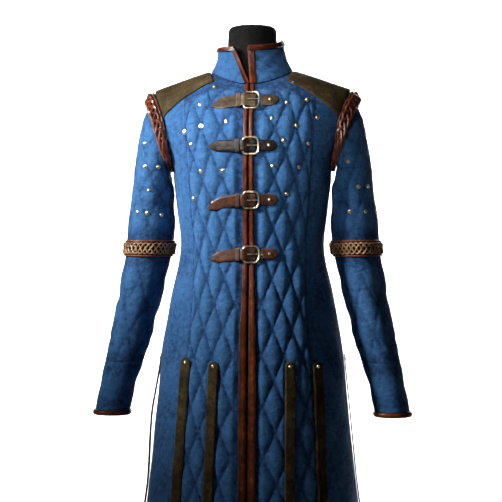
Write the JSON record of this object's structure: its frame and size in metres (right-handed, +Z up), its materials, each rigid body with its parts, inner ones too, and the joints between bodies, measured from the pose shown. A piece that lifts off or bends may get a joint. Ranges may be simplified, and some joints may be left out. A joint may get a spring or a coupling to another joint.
{
  "type": "gambeson on dress form",
  "caption": "Long fitted quilted coat with stand collar, buckled leather straps, leather yokes, laced arm bands and skirt lappets, worn on a limbless dress form with a round base.",
  "frame": {"origin": "middle of the stand's flat underside", "axes": "+Z up, the coat faces -Y, +X is the wearer's left"},
  "size_m": [0.6526, 0.3714, 1.453],
  "materials": {
    "linen": "quilted blue linen, matt woven",
    "red_leather": "glossy reddish brown leather",
    "olive_leather": "matt olive brown leather",
    "strap_leather": "polished brown strap leather",
    "brass": "antique brass",
    "form_cloth": "charcoal cloth over a shell",
    "stand_paint": "black satin paint"
  },
  "bodies": {
    "root": {"arm_band_left": "red_leather", "arm_band_right": "red_leather", "armhole_band_left": "red_leather", "armhole_band_right": "red_leather", "back_panel_left": "linen", "back_panel_right": "linen", "collar": "linen", "collar_binding": "red_leather", "cuff_binding_left": "red_leather", "cuff_binding_right": "red_leather", "cuff_left": "linen", "cuff_right": "linen", "form_neck_cap": "form_cloth", "form_stand": "stand_paint", "form_torso": "form_cloth", "front_binding_left": "red_leather", "front_binding_right": "red_leather", "front_panel_left": "linen", "front_panel_right": "linen", "lappet_inner_left": "olive_leather", "lappet_inner_right": "olive_leather", "lappet_outer_left": "olive_leather", "lappet_outer_right": "olive_leather", "lappet_side_left": "olive_leather", "lappet_side_right": "olive_leather", "lower_sleeve_left": "linen", "lower_sleeve_right": "linen", "shoulder_yoke_left": "olive_leather", "shoulder_yoke_right": "olive_leather", "side_back_left": "linen", "side_back_right": "linen", "side_front_left": "linen", "side_front_right": "linen", "strap_1": "strap_leather", "strap_1_buckle": "brass", "strap_1_chape": "strap_leather", "strap_1_keeper": "strap_leather", "strap_1_prong": "brass", "strap_2": "strap_leather", "strap_2_buckle": "brass", "strap_2_chape": "strap_leather", "strap_2_keeper": "strap_leather", "strap_2_prong": "brass", "strap_3": "strap_leather", "strap_3_buckle": "brass", "strap_3_chape": "strap_leather", "strap_3_keeper": "strap_leather", "strap_3_prong": "brass", "strap_4": "strap_leather", "strap_4_buckle": "brass", "strap_4_chape": "strap_leather", "strap_4_keeper": "strap_leather", "strap_4_prong": "brass", "upper_sleeve_left": "linen", "upper_sleeve_right": "linen"}
  },
  "joints": []
}
